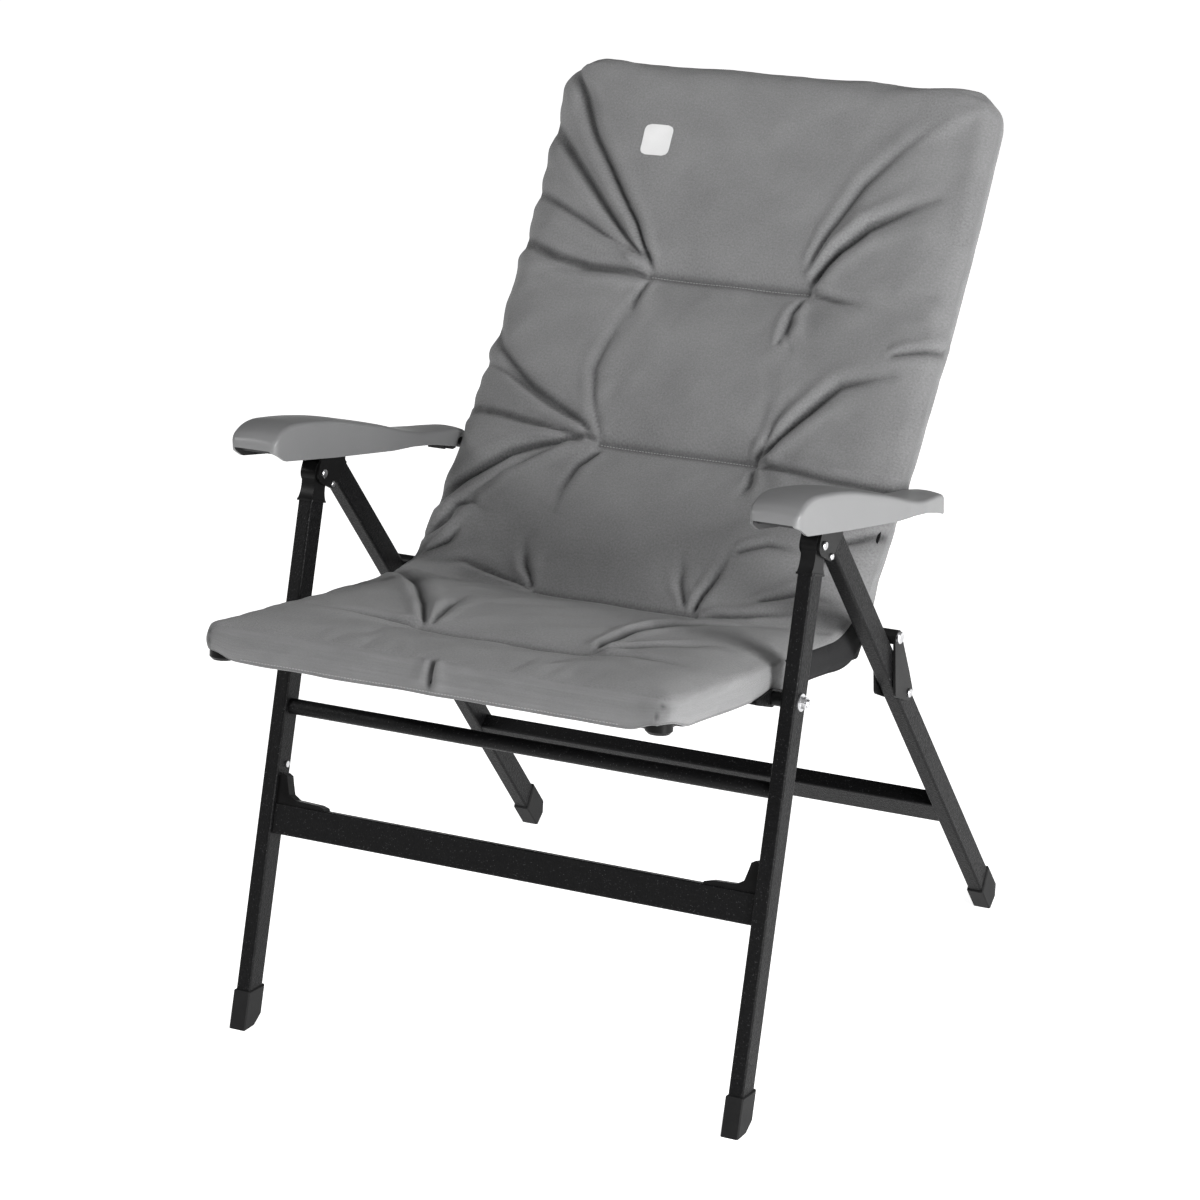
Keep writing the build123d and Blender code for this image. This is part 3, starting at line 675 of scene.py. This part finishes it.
def fold_height(x, along):
    """A fold is a crease between two raised lips, one higher; they fade towards its far end."""
    height = np.zeros_like(x)
    where = np.stack([x, along], 1)
    for track, wide, deep in FOLDS:
        track = np.array(track, float) * MM
        wide = wide * MM
        runs = np.linalg.norm(np.diff(track, axis=0), axis=1)
        best = np.full(len(x), 1e9)
        side = np.zeros(len(x))
        share = np.zeros(len(x))
        passed = 0.0
        for a, b, run in zip(track[:-1], track[1:], runs):
            t = np.clip(((where - a) @ (b - a)) / run ** 2, 0, 1)
            gap = where - a - t[:, None] * (b - a)
            away = np.linalg.norm(gap, axis=1)
            nearer = away < best
            best = np.where(nearer, away, best)
            turn = ((b - a)[0] * gap[:, 1] - (b - a)[1] * gap[:, 0]) / run
            side = np.where(nearer, np.where(turn >= 0, away, -away), side)
            share = np.where(nearer, (passed + t * run) / runs.sum(), share)
            passed += run
        s = side / (wide * (0.6 + 0.7 * share))  # widens towards its far end
        crease = 1.3 * np.exp(-1.6 * np.abs(s))
        lips = 0.6 * np.exp(-((s - 2.0) / 1.2) ** 2) + 0.35 * np.exp(-((s + 2.1) / 1.4) ** 2)
        kept = 0.75 if abs(track[-1, 0]) > OPEN_END else 0.15
        fade = (1 - smooth(share, 0.4, 1.0) * (1 - kept)) * smooth(share, -0.02, 0.06)
        height += FOLD_DEPTH * deep * MM * (lips - crease) * fade
    return height


def ripples(x, along, rng, count, short, long, height):
    """Low irregular undulation, as a sum of sine waves in random directions."""
    total = np.zeros_like(x)
    for _ in range(count):
        heading = rng.uniform(0, math.pi)
        wave = rng.uniform(short, long)
        phase = rng.uniform(0, 2 * math.pi)
        total += np.sin(2 * math.pi * (x * math.cos(heading) + along * math.sin(heading)) / wave + phase)
    return height * total / math.sqrt(count)


def store_cloth(mesh, cloth):
    attribute = mesh.attributes.new("cloth", "FLOAT_VECTOR", "POINT")
    attribute.data.foreach_set("vector", np.asarray(cloth, np.float32).ravel())


def read_cloth(mesh):
    flat = np.zeros(len(mesh.vertices) * 3, np.float32)
    mesh.attributes["cloth"].data.foreach_get("vector", flat)
    return flat.reshape(-1, 3).astype(float)


def subdivided(made):
    """Applies one level of subdivision to a mesh object."""
    modifier = made.modifiers.new("finer", "SUBSURF")
    modifier.levels = modifier.render_levels = 1
    evaluated = made.evaluated_get(bpy.context.evaluated_depsgraph_get())
    finer = bpy.data.meshes.new_from_object(evaluated)
    made.modifiers.clear()
    made.data = finer


RIM_HOLD_SEAT, RIM_HOLD_BACK = 0.95, 0.75
FRONT_CAP, REAR_CAP, INWARD_CAP = 7.5 * MM, 3.5 * MM, 4 * MM  # how far the cloth may bulge and sink
SEAT_REACH, BACK_REACH = 252.6 * MM, 255.6 * MM  # the cover ends here, inside the legs and armrests


def inflate(made, points, cloth, normals):
    """The stuffed cover, inflated by a cloth simulation."""
    flat_x = points[:, 0]
    _, along, depth = cloth.T
    face = depth < 0.01
    halves = np.array([half_width(a) for a in np.clip(along, FRONT_EDGE, TOP_EDGE)])
    pulled = np.where(face, tack_in(flat_x, along), 0)
    points = points - pulled[:, None] * normals
    set_points(made.data, points)
    seam_near = nearest_seam(flat_x, along)
    held = np.where(depth > 0.99, 1.0, 0.0)
    held = np.where(face & (seam_near < 4 * MM), 1.0, held)
    rim = face & ((np.abs(flat_x) > halves - 2 * MM) | (along < FRONT_EDGE + 1 * MM))
    held = np.where(rim, np.where(along < CREASE_START, RIM_HOLD_SEAT, RIM_HOLD_BACK), held)
    cap_out = np.where(face, FRONT_CAP, REAR_CAP) * (1 - 0.75 * np.exp(-(seam_near / (18 * MM)) ** 2))
    return simulate(made, points, held, normals, cap_out, INWARD_CAP)


def crease_shade(x, along, depth, folds, groove):
    """How dark the cloth's colour is made, from 0 to 1: painted shade in the folds and in the tack seams'
    grooves, a dark line down each front corner, a slightly darker front boxing, and a dark line along the
    hem.
    """
    front = depth < 0.01
    # painted shade in the folds and in the tack seams' grooves
    shade = np.clip(-folds / (3.6 * MM), 0, 1) + 0.8 * np.exp(-(groove / (4 * MM)) ** 2) * front
    slit = np.exp(-((np.abs(x) - 249 * MM) / (2.6 * MM)) ** 2) * (along < 2 * MM) * (depth < 0.85)
    boxing = (along < FRONT_EDGE + 0.5 * MM) * smooth(depth, 0.05, 0.3) * 0.22
    hem = np.exp(-((depth - 0.93) / 0.02) ** 2) * (depth > 0.5) * 0.8
    return np.clip(np.max([shade, slit, boxing, hem], axis=0), 0, 1)


def press_folds(mesh):
    """Presses folds, seam grooves and low ripples into the cover, and stores the shade painted into the
    cloth's colour, with its dark lines.
    """
    points = get_points(mesh)
    x, along, depth = read_cloth(mesh).T
    quads = np.zeros(len(mesh.polygons) * 4, np.int32)
    mesh.polygons.foreach_get("vertices", quads)
    normals = vertex_normals(points, quads.reshape(-1, 4))
    rng = np.random.default_rng(5)
    shown = 1 - smooth(depth, 0.55, 0.98)
    calm = 1 - np.exp(-(nearest_seam(x, along) / (12 * MM)) ** 2)
    folds = fold_height(x, along) * shown
    height = folds.copy()
    height += ripples(x, along, rng, 14, 45 * MM, 120 * MM, 0.55 * MM) * shown
    height += ripples(x, along, rng, 18, 14 * MM, 34 * MM, 0.14 * MM) * shown * calm
    height += ripples(x, along, rng, 10, 60 * MM, 160 * MM, 0.5 * MM) * (1 - shown)
    groove = np.min([np.where(np.abs(x) < half + 2 * MM, np.abs(along - at), 1) for at, half, _ in SEAMS],
                    axis=0)
    height -= 2.4 * MM * np.exp(-(groove / (3.2 * MM)) ** 2) * (depth < 0.01)
    # the painted shade and dark lines, stored for the cloth's colour
    shade = mesh.attributes.new("crease", "FLOAT", "POINT")
    shade.data.foreach_set("value", crease_shade(x, along, depth, folds, groove).astype(np.float32))
    # folds stay shallow over the rails at both sides
    near_edge = smooth(np.abs(points[:, 0]), 222 * MM, 240 * MM)
    height = np.maximum(height, -9 * MM + 7.2 * MM * near_edge)
    points = points + height[:, None] * normals
    reach = np.where(along < CREASE_END, SEAT_REACH, BACK_REACH)
    points[:, 0] = np.clip(points[:, 0], -reach, reach)
    set_points(mesh, points)


def make_cover():
    """Lattice, then stuffing, then one subdivision, then folds."""
    points, cloth, quads, lined = cover_lattice()
    made = new_mesh_object("padded_cover", points, quads)
    store_cloth(made.data, cloth)
    set_points(made.data, inflate(made, points, cloth, vertex_normals(points, quads)))
    made.data.materials.append(COVER_GREY)
    made.data.materials.append(LINING_AND_SIDE_SHADE)
    made.data.polygons.foreach_set("material_index", np.array(lined, np.int32))
    made.data.polygons.foreach_set("use_smooth", np.ones(len(quads), bool))
    subdivided(made)
    press_folds(made.data)
    return made


# --- patch and stitches -----------------------------------------------------------------
PATCH_X, PATCH_ALONG = -119 * MM, 884 * MM
PATCH_HALF, PATCH_CORNER = 17 * MM, 7 * MM
PATCH_LIFT = 0.35 * MM
PATCH_STEPS = 20
CAST_FROM, CAST_REACH = 30 * MM, 80 * MM  # rays towards the cover start this far out and reach this far


def faces_out(along):
    """The direction in which the front of the cover faces."""
    ahead = front_point(along + 1 * MM) - front_point(along - 1 * MM)
    return Vector((0, -ahead[1], ahead[0])).normalized()


def make_patch(cover):
    """A plain rounded-square print near the top left, a thin film that follows the cloth."""
    tree = BVHTree.FromObject(cover, bpy.context.evaluated_depsgraph_get())
    outward = faces_out(PATCH_ALONG)
    points, faces = [], []
    for row in range(PATCH_STEPS + 1):
        v = 2 * row / PATCH_STEPS - 1
        y, z = front_point(PATCH_ALONG + v * PATCH_HALF)
        near = (1 - abs(v)) * PATCH_HALF
        width = PATCH_HALF
        if near < PATCH_CORNER:
            width -= PATCH_CORNER - math.sqrt(max(PATCH_CORNER ** 2 - (PATCH_CORNER - near) ** 2, 0))
        for column in range(PATCH_STEPS + 1):
            x = PATCH_X + (2 * column / PATCH_STEPS - 1) * width
            hit, normal, _, _ = tree.ray_cast(Vector((x, y, z)) + outward * CAST_FROM, -outward, CAST_REACH)
            points.append(hit + normal * PATCH_LIFT)
    for row in range(PATCH_STEPS):
        for column in range(PATCH_STEPS):
            a = row * (PATCH_STEPS + 1) + column
            faces.append((a, a + 1, a + PATCH_STEPS + 2, a + PATCH_STEPS + 1))
    made = new_mesh_object("cover_patch", points, faces)
    made.data.materials.append(PRINT)
    for polygon in made.data.polygons:
        polygon.use_smooth = True
    return made


STITCH_PITCH, STITCH_LENGTH = 3.4 * MM, 2.5 * MM
STITCH_THICK, STITCH_LIFT = 0.38 * MM, 0.25 * MM
HEM_HALF, HEM_UP = 205 * MM, 5 * MM


def stitch(start, end, out, thick):
    """A short thread lying on the cloth: a six-sided bead, drawn out to a point at both ends."""
    points, faces = [], []
    along = (end - start)
    across = along.cross(out).normalized() * thick
    lift = out.normalized() * thick
    rings = ((0.0, 0.25), (0.2, 0.9), (0.8, 0.9), (1.0, 0.25))
    for share, width in rings:
        middle = start + along * share
        for n in range(6):
            turn = math.pi * n / 3
            points.append(middle + width * (across * math.cos(turn) + lift * math.sin(turn)))
    for ring in range(3):
        for n in range(6):
            a, b = ring * 6 + n, ring * 6 + (n + 1) % 6
            faces.append((a, b, b + 6, a + 6))
    faces.append(tuple(range(5, -1, -1)))
    faces.append(tuple(range(18, 24)))
    return points, faces


def make_stitches(cover):
    """Stitches along the tack seams and along the hem under the front boxing, laid on the finished cover."""
    tree = BVHTree.FromObject(cover, bpy.context.evaluated_depsgraph_get())
    points, faces = [], []

    def lay(first, second, outward):
        ends = []
        for place in (first, second):
            hit, normal, _, _ = tree.ray_cast(place + outward * CAST_FROM, -outward, CAST_REACH)
            if hit is None:
                return
            ends.append(hit + normal * STITCH_LIFT)
        new_points, new_faces = stitch(*ends, outward, STITCH_THICK)
        offset = len(points)
        points.extend(new_points)
        faces.extend(tuple(i + offset for i in f) for f in new_faces)

    def lay_row(half, y, z, outward):
        for n in range(int(2 * half / STITCH_PITCH)):
            x = -half + n * STITCH_PITCH
            lay(Vector((x, y, z)), Vector((x + STITCH_LENGTH, y, z)), outward)

    for at, half, _ in SEAMS:
        lay_row(half, *front_point(at), faces_out(at))
    lay_row(HEM_HALF, *seat_point(FRONT_EDGE - SEAT_AHEAD, SEAT_BOTTOM + HEM_UP), Vector((0, -1, 0)))
    made = new_mesh_object("cover_stitches", points, faces)
    made.data.materials.append(THREAD)
    return made


def bend_with_back(made):
    """Bakes the piece's transform into its mesh."""
    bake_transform(made)


# ========================================================================================
# Armrests: hollow mouldings, open underneath and at the front of the nose
# ========================================================================================
# All in millimetres, for the right armrest.
ARM_INNER = 256.9  # inner wall; the outer one is in the plan below
ARM_SKIN = 2.8
ARM_TIP, ARM_END = -237.5, 134.8
TIP_ZONE, END_ZONE = 32, 24  # closer stations within these lengths of the tip and the end
ARM_EDGE, ARM_CROWN = 4.6, 1.6  # radius of the top edges, rise of the top between them
PLAN_RADIUS = 9
RIBS_ACROSS = (-221, -209, -197, -185, 30, 62)
RIBS_ALONG = ((-219, -160), (-110, -88))
RIB_PLACES = (274, 291)
# side view: (y, z)
ARM_TOP = [(ARM_TIP, 584), (-236.6, 589.5), (-232.5, 596), (-224, 601.4), (-205, 604.3), (-177, 600),
           (-123, 587), (-76, 571.5), (-19.5, 551.5), (10, 540), (38.5, 530.2), (78.5, 521), (106, 515.6),
           (122, 511.2), (131.5, 505), (ARM_END, 497)]
ARM_BOTTOM = [(ARM_TIP, 582.6), (-219, 569.5), (-127, 548), (-18, 524.3), (22, 517.7), (60, 509.2),
              (100, 496.7), (124, 488), (130, 488.6), (ARM_END, 493)]
# outer wall from above: (y, x)
ARM_PLAN = [(-240, 310), (10, 310), (60, 306), (100, 299.5), (ARM_END, 293)]


def along_line(line, y):
    """Value at y of a straight-sided line."""
    return float(np.interp(y, [p[0] for p in line], [p[1] for p in line]))


def smooth_line(line, y):
    """Height at y of a smooth curve through the points (monotone cubic)."""
    ys = np.array([p[0] for p in line], float)
    zs = np.array([p[1] for p in line], float)
    slopes = np.diff(zs) / np.diff(ys)
    tangents = np.concatenate([[slopes[0]], (slopes[:-1] + slopes[1:]) / 2, [slopes[-1]]])
    flip = slopes[:-1] * slopes[1:] <= 0
    tangents[1:-1][flip] = 0
    limit = 3 * np.minimum(np.abs(slopes[:-1]), np.abs(slopes[1:]))
    tangents[1:-1] = np.clip(tangents[1:-1], -limit, limit)
    i = int(np.clip(np.searchsorted(ys, y) - 1, 0, len(slopes) - 1))
    h = ys[i + 1] - ys[i]
    t = (y - ys[i]) / h
    return float((2 * t ** 3 - 3 * t ** 2 + 1) * zs[i] + (t ** 3 - 2 * t ** 2 + t) * h * tangents[i]
                 + (3 * t ** 2 - 2 * t ** 3) * zs[i + 1] + (t ** 3 - t ** 2) * h * tangents[i + 1])


def plan_inset(y):
    """How far the plan outline is drawn in near the tip and the rear end by its rounded corners."""
    inset = 0.0
    for near in (y - ARM_TIP, ARM_END - y):
        if near < PLAN_RADIUS:
            inset += PLAN_RADIUS - math.sqrt(max(PLAN_RADIUS ** 2 - (PLAN_RADIUS - near) ** 2, 0))
    return inset


def under_skin(y, skin):
    """Height of the top, drawn in by the skin."""
    return smooth_line(ARM_TOP, y) - skin * 1.15


def arm_section(y, skin):
    """Inverted U at y, from the inner wall's foot over the top to the outer's. skin draws it in."""
    draw = plan_inset(min(max(y, ARM_TIP + 0.15), ARM_END - 0.15)) * 0.8
    low = along_line(ARM_BOTTOM, y)
    high = max(under_skin(y, skin), low + 0.3)
    inner = ARM_INNER + draw + skin
    outer = along_line(ARM_PLAN, y) - draw - skin
    tall = high - low
    corner = min(ARM_EDGE - skin * 0.6, tall * 0.8)
    rise = ARM_CROWN * min(tall / 20, 1)
    section = []
    for n in range(5):
        section.append((inner, low + (tall - corner) * n / 5))
    for n in range(6):
        turn = math.pi / 2 * n / 5
        section.append((inner + corner * (1 - math.cos(turn)), high - corner * (1 - math.sin(turn)) - rise))
    for n in range(1, 10):
        share = n / 10
        x = inner + corner + (outer - inner - 2 * corner) * share
        section.append((x, high - rise * (2 * share - 1) ** 2))
    for n in range(6):
        turn = math.pi / 2 * n / 5
        section.append((outer - corner * (1 - math.sin(turn)), high - corner * (1 - math.cos(turn)) - rise))
    for n in range(5):
        section.append((outer, low + (tall - corner) * (4 - n) / 5))
    return section


def arm_stations():
    """Places along the armrest, closer together where the nose and the rear end curve."""
    tip = [ARM_TIP + TIP_ZONE * (n / 16) ** 2.2 for n in range(16)]
    middle = list(np.linspace(ARM_TIP + TIP_ZONE, ARM_END - END_ZONE, 54))
    end = [ARM_END - END_ZONE * (n / 12) ** 1.9 for n in range(11, -1, -1)]
    return tip + middle + end


def make_armrest(side, name, body):
    """An outer and an inner skin joined round their rims, with thin ribs inside."""
    points, faces = [], []
    stations = arm_stations()
    count = len(arm_section(0, 0))

    def add_skin(skin, from_y, to_y):
        start = len(points)
        for y in stations:
            held = min(max(y, from_y), to_y)
            for x, z in arm_section(held, skin):
                points.append((side * x * MM, held * MM, z * MM))
        return start

    outer = add_skin(0, ARM_TIP, ARM_END)
    inner = add_skin(ARM_SKIN, ARM_TIP + ARM_SKIN, ARM_END - ARM_SKIN)

    def face(*corners):
        faces.append(corners if side > 0 else corners[::-1])

    for row in range(len(stations) - 1):
        for n in range(count - 1):
            a, b = row * count + n, (row + 1) * count + n
            face(outer + a, outer + a + 1, outer + b + 1, outer + b)
            face(inner + a, inner + b, inner + b + 1, inner + a + 1)
        first, last = row * count, row * count + count - 1
        face(outer + first, outer + first + count, inner + first + count, inner + first)
        face(outer + last + count, outer + last, inner + last, inner + last + count)
    final = (len(stations) - 1) * count
    for n in range(count - 1):
        face(outer + n + 1, outer + n, inner + n, inner + n + 1)
        face(outer + final + n, outer + final + n + 1, inner + final + n + 1, inner + final + n)

    def block(x0, x1, y0, y1, z0, z1):
        """Rib: a thin plate whose top edge sits in the skin above."""
        start = len(points)
        for x, y, z in ((x0, y0, z0[0]), (x1, y0, z0[0]), (x1, y1, z0[1]), (x0, y1, z0[1]),
                        (x0, y0, z1[0]), (x1, y0, z1[0]), (x1, y1, z1[1]), (x0, y1, z1[1])):
            points.append((side * x * MM, y * MM, z * MM))
        for f in ((0, 3, 2, 1), (4, 5, 6, 7), (0, 1, 5, 4), (1, 2, 6, 5), (2, 3, 7, 6), (3, 0, 4, 7)):
            face(*(start + n for n in f))

    def rib_top(y):
        return under_skin(y, ARM_SKIN) - 1.2

    for y in RIBS_ACROSS:
        low = along_line(ARM_BOTTOM, y) + (5 if y < 0 else 7)
        outer_x = along_line(ARM_PLAN, y) - 2
        block(ARM_INNER + 2, outer_x, y, y + 1.8, (low, low), (rib_top(y), rib_top(y + 1.8)))
    for y0, y1 in RIBS_ALONG:
        low = (along_line(ARM_BOTTOM, y0) + 6, along_line(ARM_BOTTOM, y1) + 6)
        for x in RIB_PLACES:
            block(x, x + 1.6, y0, y1, low, (rib_top(y0), rib_top(y1)))
    made = new_mesh_object(name, points, faces)
    made.data.materials.append(ARM_GREY)
    made.data.materials.append(ARM_PAINTED_SHADE)
    for polygon in made.data.polygons:
        polygon.use_smooth = True
        # the inner skin and the ribs take the darker copy, painted shade inside the hollow
        polygon.material_index = int(min(polygon.vertices) >= inner)
    made.data.set_sharp_from_angle(angle=math.radians(50))
    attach(made, body)
    return made


# ========================================================================================
make_camera()
make_stage()
paint_frame()
cover = make_cover()
stitches = make_stitches(cover)
patch = make_patch(cover)
bend_with_back(cover)
bend_with_back(stitches)
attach(patch, "back_frame")
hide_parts("seat_pad", "back_pad")
for side, word in ((1, "right"), (-1, "left")):
    shell = make_armrest(side, "armrest_shell_" + word, "armrest_" + word + "_body")
    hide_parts("armrest_" + word)
